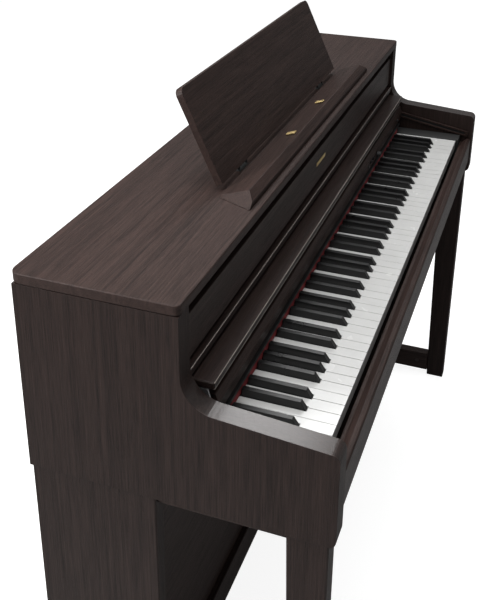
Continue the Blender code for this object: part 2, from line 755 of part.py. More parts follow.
def music_rest():
    hinge = Vector((0, rest_hinge_y(), LID_TOP + REST_HINGE_RISE))
    lean = Matrix.Translation(hinge) @ Matrix.Rotation(-REST_LEAN, 4, "X")
    half = REST_W / 2
    r = REST_CORNER_R
    outline = [(-half, 0.002), (half, 0.002)]
    outline += arc((half - r, REST_L - r), r, 0, 90, 6)
    outline += arc((-half + r, REST_L - r), r, 90, 180, 6)
    mesh = outlines_mesh("music_rest", [outline], REST_T)
    mesh.transform(lean @ UPRIGHT)
    made = add("music_rest", mesh, WOOD)
    set_origin(made, hinge)


def rest_hinge_y():
    return CASE_FRONT_Y + LEDGE_SETBACK + LEDGE_DEPTH + REST_T / 2 + REST_HINGE_GAP


def electronics():
    z = speaker_z()
    front = BACK_Y - GAP
    facing = Matrix.Rotation(math.radians(90), 4, "X")
    for name, side in (("speaker_left", -1), ("speaker_right", 1)):
        bm = bmesh.new()
        place = Matrix.Translation((side * SPEAKER_X, front - SPEAKER_DEPTH / 2, z)) @ facing
        bmesh.ops.create_cone(bm, cap_ends=True, segments=32, radius1=SPEAKER_R, radius2=SPEAKER_R * 0.45,
                              depth=SPEAKER_DEPTH, matrix=place)
        mesh = bpy.data.meshes.new(name)
        bm.to_mesh(mesh)
        bm.free()
        add(name, mesh, BLACK_PLASTIC)
    box("main_board", (-0.14, 0.14, front - 0.0016, front, z - 0.02, z + 0.10), BOARD)
    supply = (-0.12, 0.02, front - 0.055, front, KEYBED_TOP + GAP, KEYBED_TOP + 0.045)
    box("power_supply", supply, BLACK_PLASTIC, 0.002)
    inlet = inlet_bounds()
    made = box("power_inlet", inlet, BLACK_PLASTIC)
    wall = 0.006
    recess = (inlet[0] + wall, inlet[1] - wall, inlet[3] - INLET_DEPTH, inlet[3] + 0.002,
              inlet[4] + wall, inlet[5] - wall)
    cut(made, boxes_mesh("inlet_recess", [recess]))
    jack_y = KEY_FRONT_Y + 0.010
    middle = JACKS_X + JACK_PITCH / 2
    bounds = (middle - 0.035, middle + 0.035, jack_y, jack_y + 0.060, KEYBED_Z - 0.032, KEYBED_Z - GAP)
    made = box("headphone_box", bounds, BLACK_PLASTIC, 0.0015)
    places = [(x, jack_y + 0.008, KEYBED_Z - 0.017) for x in (JACKS_X, JACKS_X + JACK_PITCH)]
    cut(made, cylinders_mesh("jack_holes", places, JACK_R, 0.024, "Y", 12))


def stand():
    rear_side = (STAND_INNER_X, STAND_X, BOARD_FRONT_Y, BOARD_REAR_Y, 0.0, STAND_TOP)
    box_pair("side_board", rear_side, WOOD, 0.002)
    top_rear = LEG_FRONT_Y + LEG_TOP_DEPTH
    foot_rear = LEG_FRONT_Y + LEG_FOOT_DEPTH
    leg = [(LEG_FRONT_Y, 0.0), (foot_rear, 0.0), (top_rear, STAND_TOP), (LEG_FRONT_Y, STAND_TOP)]
    for made in profile_pair("front_leg", leg, STAND_X - LEG_T, STAND_X, WOOD):
        round_edges(made, 0.002)
    outer = STAND_X - TOP_RAIL_INSET
    rail = (outer - STAND_SIDE_T, outer, top_rear + GAP, BOARD_FRONT_Y - GAP,
            STAND_TOP - TOP_RAIL_H, STAND_TOP)
    box_pair("top_rail", rail, WOOD)

    def leg_rear(z):
        return foot_rear + (LEG_TOP_DEPTH - LEG_FOOT_DEPTH) * z / STAND_TOP + GAP * 2

    z0 = FOOT_RAIL_Z
    z1 = FOOT_RAIL_Z + FOOT_RAIL_H
    foot = [(leg_rear(z0), z0), (BOARD_FRONT_Y - GAP, z0), (BOARD_FRONT_Y - GAP, z1), (leg_rear(z1), z1)]
    profile_pair("foot_rail", foot, outer - STAND_SIDE_T, outer, WOOD)


def pedal_xs():
    return (-PEDAL_PITCH, 0.0, PEDAL_PITCH)


def kick_board():
    half = STAND_INNER_X - GAP
    board = (-half, half, KICK_Y, KICK_Y + KICK_T, PLINTH_TOP + GAP, STAND_TOP)
    made = box("kick_board", board, WOOD)
    notches = [(x - NOTCH_W / 2, x + NOTCH_W / 2, KICK_Y - 0.01, KICK_Y + KICK_T + 0.01,
                PLINTH_TOP - 0.01, PLINTH_TOP + NOTCH_H) for x in pedal_xs()]
    cut(made, boxes_mesh("pedal_notches", notches))
    front = KICK_Y - PLINTH_PROUD
    box("plinth", (-half, half, front, front + PLINTH_T, PLINTH_Z, PLINTH_TOP), WOOD, 0.0015)


def pedal_axis_y():
    return KICK_Y + PEDAL_PIVOT


def pedals():
    axis_y = pedal_axis_y()
    tip = KICK_Y - PEDAL_REACH
    blade_rear = tip + PEDAL_BLADE_L
    names = ("pedal_soft", "pedal_sostenuto", "pedal_damper")
    r = PEDAL_W / 2
    stem = PEDAL_STEM_W / 2
    for name, x in zip(names, pedal_xs()):
        outline = arc((0, tip + r), r, 180, 360, 8)
        outline += [(r * 0.9, blade_rear - 0.02), (stem, blade_rear), (stem, axis_y + 0.006)]
        outline += [(-stem, axis_y + 0.006), (-stem, blade_rear), (-r * 0.9, blade_rear - 0.02)]
        mesh = outlines_mesh(name, [outline], PEDAL_T)
        mesh.transform(Matrix.Translation((x, 0, PEDAL_Z + PEDAL_T / 2)))
        made = add(name, mesh, BRASS)
        round_edges(made, 0.0015, 2)
        set_origin(made, (x, axis_y, PEDAL_Z + PEDAL_T / 2))
    y0 = KICK_Y + KICK_T + GAP
    y1 = y0 + BOX_DEPTH
    wall = y1 - BOX_WALL
    shelf = BOX_BOTTOM + BOX_WALL
    fulcrum = PEDAL_Z - GAP
    bracket = [(y0, BOX_TOP), (y1, BOX_TOP), (y1, BOX_BOTTOM), (y0, BOX_BOTTOM), (y0, shelf),
               (axis_y - 0.002, shelf), (axis_y - 0.002, fulcrum), (axis_y + 0.002, fulcrum),
               (axis_y + 0.002, shelf), (wall, shelf), (wall, BOX_TOP - BOX_WALL), (y0, BOX_TOP - BOX_WALL)]
    side_profile("pedal_bracket", bracket, -BOX_HALF, BOX_HALF, BLACK_PLASTIC)
    middle = (y0 + y1) / 2
    foot = cylinders_mesh("pedal_adjuster", [(0, 0, 0.006)], ADJUSTER_R, 0.012, "Z", 20)
    made = add("pedal_adjuster", foot, BLACK_PLASTIC)
    cut(made, cylinders_mesh("adjuster_stem", [(0, 0, 0.029)], 0.004, 0.0405, "Z", 12), "UNION")
    apply_cuts(made)
    made.location = (0, middle, 0)


def main():
    clear_scene()
    side_panels()
    case()
    upper_front()
    white_keys()
    black_keys()
    hammers()
    key_frame()
    nameboard()
    controls()
    key_cover()
    music_ledge()
    music_rest()
    electronics()
    stand()
    kick_board()
    pedals()


main()
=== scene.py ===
"""Finish of a digital piano on its stand: wood, keys, felt, brass and small fittings, with its studio."""
import json
import math

import bmesh
import bpy
from bpy.props import FloatProperty, FloatVectorProperty
from mathutils import Matrix, Vector


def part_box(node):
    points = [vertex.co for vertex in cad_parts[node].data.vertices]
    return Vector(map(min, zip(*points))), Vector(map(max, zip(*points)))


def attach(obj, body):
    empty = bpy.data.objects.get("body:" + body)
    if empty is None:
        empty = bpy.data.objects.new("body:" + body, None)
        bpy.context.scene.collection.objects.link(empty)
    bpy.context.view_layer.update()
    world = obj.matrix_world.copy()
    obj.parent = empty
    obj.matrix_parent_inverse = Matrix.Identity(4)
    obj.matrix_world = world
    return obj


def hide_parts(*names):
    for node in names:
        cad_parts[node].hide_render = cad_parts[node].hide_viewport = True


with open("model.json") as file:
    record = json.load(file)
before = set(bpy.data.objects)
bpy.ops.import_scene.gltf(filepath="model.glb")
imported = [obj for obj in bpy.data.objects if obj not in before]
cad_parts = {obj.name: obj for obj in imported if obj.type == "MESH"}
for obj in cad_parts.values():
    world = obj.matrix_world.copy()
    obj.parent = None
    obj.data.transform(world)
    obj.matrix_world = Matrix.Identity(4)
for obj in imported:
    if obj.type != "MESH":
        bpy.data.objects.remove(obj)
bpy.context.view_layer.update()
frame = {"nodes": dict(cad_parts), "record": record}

bl_info = {
    "name": "Digital piano finish",
    "version": (1, 0, 0),
    "blender": (4, 5, 0),
    "location": "View3D > Sidebar > Piano",
    "description": "Finishes and small fittings of a digital piano on its stand",
    "category": "Object",
}

NODES = frame["nodes"]

# Edges where the faces turn by more than this are rounded, or kept sharp when the faces are smoothed.
EDGE_ANGLE = math.radians(35)
# Turns local XY into world YZ, with local Z along world X.
ON_EDGE = Matrix(((0, 0, 1, 0), (1, 0, 0, 0), (0, 1, 0, 0), (0, 0, 0, 1)))
# Turns local XY into world XZ, with local Z along world -Y.
FACING_BACK = Matrix.Rotation(math.radians(90), 4, "X")

# Wood: its pores, the relief of its grain in metres, its reflection, and how much rougher dark grain is.
PORE_DEPTH = 0.7
PORE_SHADE = 0.55
GRAIN_RELIEF = 0.00012
WOOD_SPECULAR = 0.18
GRAIN_GLOSS = 0.10

# Sizes of the small fittings, in metres. A profile is (radius, height) pairs.
LID_CORNERS = (0.010, 0.010, 0.018, 0.018)
# The pale strips along the moulding's and the cover board's edges are painted highlights; these are their
# sizes.
HIGHLIGHT_STRIP_RADIUS = 0.0006
HIGHLIGHT_STRIP_INSET = 0.0004
HIGHLIGHT_STRIP_END_GAP = 0.001
LOWER_HIGHLIGHT_STRIP_RISE = 0.0016
SCREW_MARGIN = 0.012
SCREW_GAPS = 8
SCREW_RADIUS = 0.0042
RAIL_SLOT_DEPTH = 0.0035
# The dark strips in the rail slots are painted shade; these are their sizes.
SLOT_SHADE_ENDS = (-0.088, 0.089)
SLOT_SHADE_HALF_WIDTH = 0.0030
SLOT_SHADE_CORNER = 0.0010
SLOT_SHADE_THICKNESS = 0.0003
HINGES_AT = (-0.240, 0.240)
HINGE_HALF_WIDTH = 0.020
HINGE_FRONT = 0.004
HINGE_BACK = 0.014
HINGE_CORNER = 0.002
HINGE_THICKNESS = 0.0008
HINGE_GAP = 0.0001
LUGS_AT = (-0.019, 0.0165)
LUG_HALF_WIDTH = 0.0016
LUG_CORNERS = (0.0002, 0.0002, 0.0012, 0.0012)
LUG_THICKNESS = 0.0025
HINGE_PIN_START = 0.0165
HINGE_PIN_PROFILE = ((0.0008, 0.0), (0.0012, 0.0004), (0.0012, 0.0326), (0.0008, 0.033))
CAP_INSET = 0.030
CAP_PROFILE = ((0.0050, 0.0), (0.0050, 0.0004), (0.0042, 0.0009))
CONE_GAP = 0.0003
CONE_PROFILE = ((0.0640, 0.0), (0.0640, 0.0020), (0.0612, 0.0048), (0.0575, 0.0056), (0.0540, 0.0040),
                (0.0520, 0.0030), (0.0360, 0.0016), (0.0230, 0.0008), (0.0220, 0.0016), (0.0190, 0.0044),
                (0.0130, 0.0068), (0.0060, 0.0078), (0.0008, 0.0080))
RING_INNER = 0.0662
RING_OUTER = 0.0735
RING_THICKNESS = 0.0012
RING_SCREWS_OUT = 0.0699
RING_SCREW_RADIUS = 0.0028
BLADES_AT = ((-0.007, -0.002), (0.0, 0.003), (0.007, -0.002))
BLADE_HALF_WIDTH = 0.001
BLADE_HALF_HEIGHT = 0.0022
BLADE_CORNER = 0.0003
BLADE_START = 0.005
BLADE_LENGTH = 0.0125
SOCKETS_AT = (-0.015, 0.015)
SOCKET_DROP = 0.0167
SOCKET_RING_INNER = 0.0035
SOCKET_RING_OUTER = 0.0056
SOCKET_RING_THICKNESS = 0.0010

# Studio: brightness of the floor and the sky as the camera sees them, and of the floor as other light does.
FLOOR_SEEN = 0.88
FLOOR_GLOW = 0.05
SKY_SEEN = 1.1
FLOOR_HALF_WIDTH = 14.0
FLOOR_DROP = 0.0005
# Where the camera stands, its yaw, pitch and roll in degrees, and how far its picture is shifted.
CAMERA_PLACE = (-1.5702, -0.4257, 1.5705)
CAMERA_TURN = (70.293, -22.322, 0.532)
CAMERA_SHIFT = -0.24
SENSOR_WIDTH = 36.0


class PianoWood(bpy.types.PropertyGroup):
    """Colours and grain of the cabinet's foil."""
    dark: FloatVectorProperty(
        name="Dark grain", description="Colour of the darkest streaks of the rosewood",
        subtype="COLOR", size=3, min=0.0, max=1.0, default=(0.0085, 0.0047, 0.0040))
    light: FloatVectorProperty(
        name="Light grain", description="Colour of the palest streaks of the rosewood",
        subtype="COLOR", size=3, min=0.0, max=1.0, default=(0.0500, 0.0300, 0.0255))
    streak: FloatProperty(
        name="Streak width", description="Width of a typical grain streak",
        unit="LENGTH", min=0.0005, max=0.02, default=0.0009)
    length: FloatProperty(
        name="Streak length", description="Length of a typical grain streak",
        unit="LENGTH", min=0.01, max=1.0, default=0.070)
    edge: FloatProperty(
        name="Edge rounding", description="Radius of the boards' worn edges",
        unit="LENGTH", min=0.0002, max=0.01, default=0.0018)


class PianoKeys(bpy.types.PropertyGroup):
    """Colours and edges of the keys."""
    white: FloatVectorProperty(
        name="White keys", description="Colour of the white keys", subtype="COLOR",
        size=3, min=0.0, max=1.0, default=(0.60, 0.60, 0.59))
    black: FloatVectorProperty(
        name="Black keys", description="Colour of the black keys", subtype="COLOR",
        size=3, min=0.0, max=1.0, default=(0.0045, 0.0045, 0.0048))
    felt: FloatVectorProperty(
        name="Felt", description="Colour of the felt behind the keys", subtype="COLOR",
        size=3, min=0.0, max=1.0, default=(0.30, 0.018, 0.022))
    edge: FloatProperty(
        name="Key edge", description="Radius of the keys' edges", unit="LENGTH",
        min=0.0001, max=0.002, default=0.0006)


class PianoMetal(bpy.types.PropertyGroup):
    """Colours of the metal fittings."""
    brass: FloatVectorProperty(
        name="Brass", description="Colour of the pedals, page holders and inlay", subtype="COLOR",
        size=3, min=0.0, max=1.0, default=(0.72, 0.56, 0.27))
    steel: FloatVectorProperty(
        name="Steel", description="Colour of the cover's end arms and the screws", subtype="COLOR",
        size=3, min=0.0, max=1.0, default=(0.46, 0.46, 0.47))


class PianoStudio(bpy.types.PropertyGroup):
    """Light and camera."""
    top_light: FloatProperty(
        name="Top light", description="Power of the large light overhead", subtype="POWER",
        min=0.0, max=2000.0, default=114.0)
    side_light: FloatProperty(
        name="Side light", description="Power of the light at the bass end", subtype="POWER",
        min=0.0, max=2000.0, default=62.0)
    far_light: FloatProperty(
        name="Far light", description="Power of the light beyond the treble end", subtype="POWER",
        min=0.0, max=2000.0, default=9.0)
    sky: FloatProperty(
        name="Sky", description="Brightness of the light from all round",
        min=0.0, max=5.0, default=0.20)
    lens: FloatProperty(
        name="Lens", description="Focal length of the camera",
        unit="CAMERA", min=10.0, max=200.0, default=54.01)


# Node helpers

def link(tree, source, target):
    tree.links.new(source, target)


def node(tree, kind, **settings):
    made = tree.nodes.new(kind)
    for name, value in settings.items():
        setattr(made, name, value)
    return made


def math_node(tree, operation, first, second):
    made = node(tree, "ShaderNodeMath", operation=operation)
    for socket, value in zip(made.inputs, (first, second)):
        if isinstance(value, (int, float)):
            socket.default_value = value
        else:
            link(tree, value, socket)
    return made.outputs[0]


def scaled(tree, position, factor):
    made = node(tree, "ShaderNodeVectorMath", operation="MULTIPLY")
    link(tree, position, made.inputs[0])
    if isinstance(factor, tuple):
        made.inputs[1].default_value = factor
    else:
        link(tree, factor, made.inputs[1])
    return made.outputs[0]


def noise(tree, position, scale, detail=3.0, roughness=0.5, distortion=0.0):
    made = node(tree, "ShaderNodeTexNoise")
    link(tree, position, made.inputs["Vector"])
    made.inputs["Scale"].default_value = scale
    made.inputs["Detail"].default_value = detail
    made.inputs["Roughness"].default_value = roughness
    made.inputs["Distortion"].default_value = distortion
    return made.outputs["Fac"]


def remap(tree, value, low, high, out_low=0.0, out_high=1.0):
    made = node(tree, "ShaderNodeMapRange")
    link(tree, value, made.inputs["Value"])
    made.inputs["From Min"].default_value = low
    made.inputs["From Max"].default_value = high
    made.inputs["To Min"].default_value = out_low
    made.inputs["To Max"].default_value = out_high
    return made.outputs["Result"]


def blended(tree, factor, first, second):
    made = node(tree, "ShaderNodeMix", data_type="RGBA")
    link(tree, factor, made.inputs["Factor"])
    for socket, value in ((made.inputs["A"], first), (made.inputs["B"], second)):
        if isinstance(value, tuple):
            socket.default_value = (*value, 1.0)
        else:
            link(tree, value, socket)
    return made.outputs["Result"]


def new_group(name, inputs, outputs):
    """A shader group with its sockets, each given as (name, kind, default)."""
    tree = bpy.data.node_groups.new(name, "ShaderNodeTree")
    for label, kind, default in inputs:
        socket = tree.interface.new_socket(label, in_out="INPUT", socket_type=kind)
        if default is not None:
            socket.default_value = default
    for label, kind in outputs:
        tree.interface.new_socket(label, in_out="OUTPUT", socket_type=kind)
    return tree, tree.nodes.new("NodeGroupInput"), tree.nodes.new("NodeGroupOutput")


def placed(tree, group, **values):
    made = node(tree, "ShaderNodeGroup", node_tree=group)
    for label, value in values.items():
        socket = made.inputs[label.replace("_", " ")]
        if isinstance(value, bpy.types.NodeSocket):
            link(tree, value, socket)
        else:
            socket.default_value = value
    return made


# Shared effects

def grain_group():
    """Straight foil grain: streaks, slow figure and short pores, stretched along the board."""
    tree, entry, leave = new_group(
        "wood_grain",
        [("Position", "NodeSocketVector", None), ("Stretch", "NodeSocketVector", (400.0, 400.0, 8.0)),
         ("Pore Depth", "NodeSocketFloat", 0.5)],
        [("Tone", "NodeSocketFloat"), ("Pores", "NodeSocketFloat"), ("Height", "NodeSocketFloat")])
    along = scaled(tree, entry.outputs["Position"], entry.outputs["Stretch"])
    streaks = noise(tree, along, 1.0, detail=5.0, roughness=0.62)
    figure = noise(tree, along, 0.085, detail=2.0, distortion=1.4)
    fibres = noise(tree, along, 3.1, detail=2.0)
    tone = math_node(tree, "ADD", math_node(tree, "MULTIPLY", remap(tree, streaks, 0.36, 0.64), 0.70),
                     math_node(tree, "MULTIPLY", remap(tree, figure, 0.34, 0.66), 0.30))
    pores = remap(tree, fibres, 0.57, 0.68)
    deep = math_node(tree, "MULTIPLY", pores, entry.outputs["Pore Depth"])
    height = math_node(tree, "SUBTRACT", math_node(tree, "MULTIPLY", tone, 0.3), deep)
    link(tree, tone, leave.inputs["Tone"])
    link(tree, deep, leave.inputs["Pores"])
    link(tree, height, leave.inputs["Height"])
    return tree


def mottle_group():
    """Slow unevenness of a moulded or polished surface, with a fine texture on it."""
    tree, entry, leave = new_group(
        "surface_mottle",
        [("Position", "NodeSocketVector", None), ("Patch", "NodeSocketFloat", 30.0),
         ("Fine", "NodeSocketFloat", 900.0)],
        [("Patches", "NodeSocketFloat"), ("Texture", "NodeSocketFloat")])
    for label, source, detail in (("Patches", "Patch", 3.0), ("Texture", "Fine", 2.0)):
        made = node(tree, "ShaderNodeTexNoise")
        link(tree, entry.outputs["Position"], made.inputs["Vector"])
        link(tree, entry.outputs[source], made.inputs["Scale"])
        made.inputs["Detail"].default_value = detail
        link(tree, made.outputs["Fac"], leave.inputs[label])
    return tree


def weave_group():
    """Crossed threads of a cloth: a height and a mask of the gaps between threads."""
    tree, entry, leave = new_group(
        "cloth_weave",
        [("Position", "NodeSocketVector", None), ("Threads", "NodeSocketFloat", 900.0)],
        [("Height", "NodeSocketFloat"), ("Gaps", "NodeSocketFloat")])
    split = node(tree, "ShaderNodeSeparateXYZ")
    link(tree, entry.outputs["Position"], split.inputs[0])
    waves = []
    for axis in ("X", "Z"):
        turn = math_node(tree, "MULTIPLY", split.outputs[axis], entry.outputs["Threads"])
        waves.append(math_node(tree, "ABSOLUTE", math_node(tree, "SINE", turn, 0.0), 0.0))
    height = math_node(tree, "MAXIMUM", waves[0], waves[1])
    link(tree, height, leave.inputs["Height"])
    link(tree, remap(tree, height, 0.75, 0.45), leave.inputs["Gaps"])
    return tree


# Materials

def surface(name):
    """A new material with its tree, its shader and the position that its textures read."""
    made = bpy.data.materials.new(name)
    made.use_nodes = True
    tree = made.node_tree
    shader = tree.nodes["Principled BSDF"]
    position = node(tree, "ShaderNodeTexCoord").outputs["Object"]
    return made, tree, shader, position


def shaded(colour, share):
    """A colour with every channel at a share of itself."""
    return tuple(channel * share for channel in colour)


def bumped(tree, shader, height, distance):
    bump = node(tree, "ShaderNodeBump")
    bump.inputs["Distance"].default_value = distance
    bump.inputs["Strength"].default_value = 1.0
    link(tree, height, bump.inputs["Height"])
    link(tree, bump.outputs["Normal"], shader.inputs["Normal"])


def grain_stretch(wood, along):
    """How much finer than one metre the grain is on each axis, long along one of them."""
    across = 1.0 / wood.streak
    stretch = [across, across, across]
    stretch["XYZ".index(along)] = 1.0 / wood.length
    return tuple(stretch)


def wood_material(name, along, roughness=0.42, tone_and_painted_light=1.0, edge_along=None, coat=0.0):
    """Rosewood foil with its grain along one axis, and another axis on faces that look up."""
    wood = bpy.context.scene.piano_wood
    made, tree, shader, position = surface(name)
    group = bpy.data.node_groups["wood_grain"]
    grain = placed(tree, group, Position=position, Stretch=grain_stretch(wood, along), Pore_Depth=PORE_DEPTH)
    tone, pores, height = (grain.outputs[label] for label in ("Tone", "Pores", "Height"))
    if edge_along:
        banding = placed(tree, group, Position=position, Stretch=grain_stretch(wood, edge_along),
                         Pore_Depth=PORE_DEPTH)
        geometry = node(tree, "ShaderNodeNewGeometry")
        split = node(tree, "ShaderNodeSeparateXYZ")
        link(tree, geometry.outputs["Normal"], split.inputs[0])
        upward = remap(tree, split.outputs["Z"], 0.35, 0.65)
        mixed = []
        for label, value in (("Tone", tone), ("Pores", pores), ("Height", height)):
            mix = node(tree, "ShaderNodeMix", data_type="FLOAT")
            link(tree, upward, mix.inputs["Factor"])
            link(tree, value, mix.inputs["A"])
            link(tree, banding.outputs[label], mix.inputs["B"])
            mixed.append(mix.outputs["Result"])
        tone, pores, height = mixed
    # The colour factor darkens or lightens the whole foil; for the upright boards it is painted shade and
    # for the lid painted light.
    dark = shaded(wood.dark, tone_and_painted_light)
    colour = blended(tree, tone, dark, shaded(wood.light, tone_and_painted_light))
    colour = blended(tree, pores, colour, shaded(dark, PORE_SHADE))
    link(tree, colour, shader.inputs["Base Color"])
    sheen = remap(tree, tone, 0.0, 1.0, roughness + GRAIN_GLOSS, roughness)
    if edge_along:
        sheen = math_node(tree, "SUBTRACT", sheen, math_node(tree, "MULTIPLY", upward, 0.10))
        link(tree, upward, shader.inputs["Coat Weight"])
    else:
        shader.inputs["Coat Weight"].default_value = coat
    link(tree, sheen, shader.inputs["Roughness"])
    shader.inputs["Specular IOR Level"].default_value = WOOD_SPECULAR
    shader.inputs["Coat Roughness"].default_value = 0.22 if edge_along else 0.28
    bumped(tree, shader, height, GRAIN_RELIEF)
    return made


def moulded_material(name, colour, roughness, fine=1400.0, depth=0.00003, metallic=0.0, coat=0.0,
                     specular=0.5):
    """A moulded, cast or polished surface: one colour, uneven gloss and a fine texture."""
    made, tree, shader, position = surface(name)
    group = placed(tree, bpy.data.node_groups["surface_mottle"], Position=position, Fine=fine)
    patches = group.outputs["Patches"]
    link(tree, blended(tree, patches, shaded(colour, 0.86), tuple(colour)), shader.inputs["Base Color"])
    gloss = remap(tree, patches, 0.3, 0.7, roughness * 0.85, roughness * 1.15)
    link(tree, gloss, shader.inputs["Roughness"])
    shader.inputs["Metallic"].default_value = metallic
    shader.inputs["Coat Weight"].default_value = coat
    shader.inputs["Specular IOR Level"].default_value = specular
    bumped(tree, shader, group.outputs["Texture"], depth)
    return made


def brushed_material(name, colour, roughness, along):
    """Metal with fine lines along one axis."""
    made, tree, shader, position = surface(name)
    stretch = [1500.0, 1500.0, 1500.0]
    stretch["XYZ".index(along)] = 20.0
    lines = noise(tree, scaled(tree, position, tuple(stretch)), 1.0, detail=2.0)
    link(tree, blended(tree, lines, shaded(colour, 0.8), tuple(colour)), shader.inputs["Base Color"])
    gloss = remap(tree, lines, 0.3, 0.7, roughness * 0.8, roughness * 1.2)
    link(tree, gloss, shader.inputs["Roughness"])
    shader.inputs["Metallic"].default_value = 1.0
    bumped(tree, shader, lines, 0.00001)
    return made


def felt_material(name, colour):
    made, tree, shader, position = surface(name)
    group = bpy.data.node_groups["surface_mottle"]
    fuzz = placed(tree, group, Position=position, Patch=160.0, Fine=1500.0).outputs["Texture"]
    link(tree, blended(tree, fuzz, shaded(colour, 0.55), tuple(colour)), shader.inputs["Base Color"])
    shader.inputs["Roughness"].default_value = 0.95
    shader.inputs["Sheen Weight"].default_value = 0.4
    bumped(tree, shader, fuzz, 0.0006)
    return made


def cloth_material(name, colour):
    made, tree, shader, position = surface(name)
    weave = placed(tree, bpy.data.node_groups["cloth_weave"], Position=position, Threads=2600.0)
    mixed = blended(tree, weave.outputs["Gaps"], tuple(colour), shaded(colour, 0.3))
    link(tree, mixed, shader.inputs["Base Color"])
    shader.inputs["Roughness"].default_value = 0.9
    bumped(tree, shader, weave.outputs["Height"], 0.0003)
    return made


def board_material(name):
    """Green lacquer with copper tracks showing through it."""
    made, tree, shader, position = surface(name)
    tracks = noise(tree, scaled(tree, position, (400.0, 1.0, 40.0)), 1.0, detail=0.0)
    lacquer, copper = (0.010, 0.060, 0.030), (0.020, 0.110, 0.045)
    mixed = blended(tree, remap(tree, tracks, 0.48, 0.52), lacquer, copper)
    link(tree, mixed, shader.inputs["Base Color"])
    shader.inputs["Roughness"].default_value = 0.4
    return made


def finish(name):
    return bpy.data.materials[name]


def joint(name):
    """The packed record's entry for one joint."""
    return next(entry for entry in frame["record"]["behaviour"]["joints"] if entry["name"] == name)


def dress(nodes, material, width=0.0, segments=2):
    """Gives CAD nodes a finish, and rounds their edges if a width is given."""
    for name in nodes:
        target = NODES[name]
        target.data.materials.clear()
        target.data.materials.append(material)
        if width:
            soften(target, width, segments)


def soften(target, width, segments=2):
    weld = target.modifiers.new("weld", "WELD")
    weld.merge_threshold = 0.00002
    bevel = target.modifiers.new("edges", "BEVEL")
    bevel.width = width
    bevel.segments = segments
    bevel.limit_method = "ANGLE"
    bevel.angle_limit = EDGE_ANGLE
    bevel.use_clamp_overlap = True
    bevel.harden_normals = True


# Mesh helpers

def new_piece(name, bm, material, body):
    """A new mesh object that rides on a body of the piano."""
    bmesh.ops.recalc_face_normals(bm, faces=bm.faces)
    mesh = bpy.data.meshes.new(name)
    bm.to_mesh(mesh)
    bm.free()
    mesh.materials.append(material)
    mesh.shade_smooth()
    mesh.set_sharp_from_angle(angle=EDGE_ANGLE)
    made = bpy.data.objects.new(name, mesh)
    bpy.context.scene.collection.objects.link(made)
    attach(made, body)
    return made


def turned_rings(bm, centre, axis, profile, segments):
    """Rings of vertices, one for each (radius, height) pair of a profile carried round the axis."""
    turn = Vector((0, 0, 1)).rotation_difference(Vector(axis)).to_matrix().to_4x4()
    place = Matrix.Translation(centre) @ turn
    rings = []
    for radius, height in profile:
        ring = []
        for step in range(segments):
            angle = 2 * math.pi * step / segments
            point = Vector((radius * math.cos(angle), radius * math.sin(angle), height))
            ring.append(bm.verts.new(place @ point))
        rings.append(ring)
    return rings


def join_rings(bm, pairs):
    """Faces between each pair of rings."""
    for first, second in pairs:
        for step in range(len(first)):
            after = (step + 1) % len(first)
            bm.faces.new((first[step], first[after], second[after], second[step]))


def add_ring(bm, centre, axis, inner, outer, depth, segments=24):
    """A flat washer of the given depth along the axis, starting at the centre point."""
    profile = ((inner, 0.0), (outer, 0.0), (outer, depth), (inner, depth))
    rings = turned_rings(bm, centre, axis, profile, segments)
    join_rings(bm, zip(rings, rings[1:] + rings[:1]))


def add_lathe(bm, centre, axis, profile, segments=24):
    """A closed turned shape: (radius, height) pairs carried round the axis."""
    rings = turned_rings(bm, centre, axis, profile, segments)
    join_rings(bm, zip(rings, rings[1:]))
    bm.faces.new(rings[0])
    bm.faces.new(rings[-1])


def add_slab(bm, outline, place, thickness):
    """A flat outline in local XY made a slab between local Z 0 and its thickness."""
    low = [bm.verts.new(place @ Vector((x, y, 0.0))) for x, y in outline]
    high = [bm.verts.new(place @ Vector((x, y, thickness))) for x, y in outline]
    bm.faces.new(low)
    bm.faces.new(high)
    for step in range(len(outline)):
        after = (step + 1) % len(outline)
        bm.faces.new((low[step], low[after], high[after], high[step]))


def add_highlight_strip(bm, x0, x1, y, z, radius=HIGHLIGHT_STRIP_RADIUS):
    """A thin pale strip along a board's edge: a painted highlight."""
    profile = [(radius * 0.6, 0.0), (radius, radius), (radius, x1 - x0 - radius), (radius * 0.6, x1 - x0)]
    add_lathe(bm, (x0, y, z), (1, 0, 0), profile, 8)


def add_screw(bm, centre, axis, radius):
    """A domed screw head with a round drive recess."""
    shares = ((1.0, 0.0), (0.96, 0.16), (0.72, 0.34), (0.42, 0.42), (0.36, 0.40), (0.30, 0.12))
    profile = [(radius * across, radius * up) for across, up in shares]
    add_lathe(bm, centre, axis, profile, 12)


def rounded_outline(x0, x1, y0, y1, radii, steps=6):
    """A rectangle with its own radius at each corner, from (x0, y0) anticlockwise."""
    corners = ((x0, y0, 180), (x1, y0, 270), (x1, y1, 0), (x0, y1, 90))
    points = []
    for (x, y, start), radius in zip(corners, radii):
        cx = x + radius if x == x0 else x - radius
        cy = y + radius if y == y0 else y - radius
        for step in range(steps + 1):
            angle = math.radians(start + 90 * step / steps)
            points.append((cx + radius * math.cos(angle), cy + radius * math.sin(angle)))
    return points


# Operators

class FinishOperator:
    """Shared parts of the piano's operators."""
    bl_options = {"REGISTER", "UNDO"}

    def execute(self, context):
        self.build(context.scene)
        return {"FINISHED"}


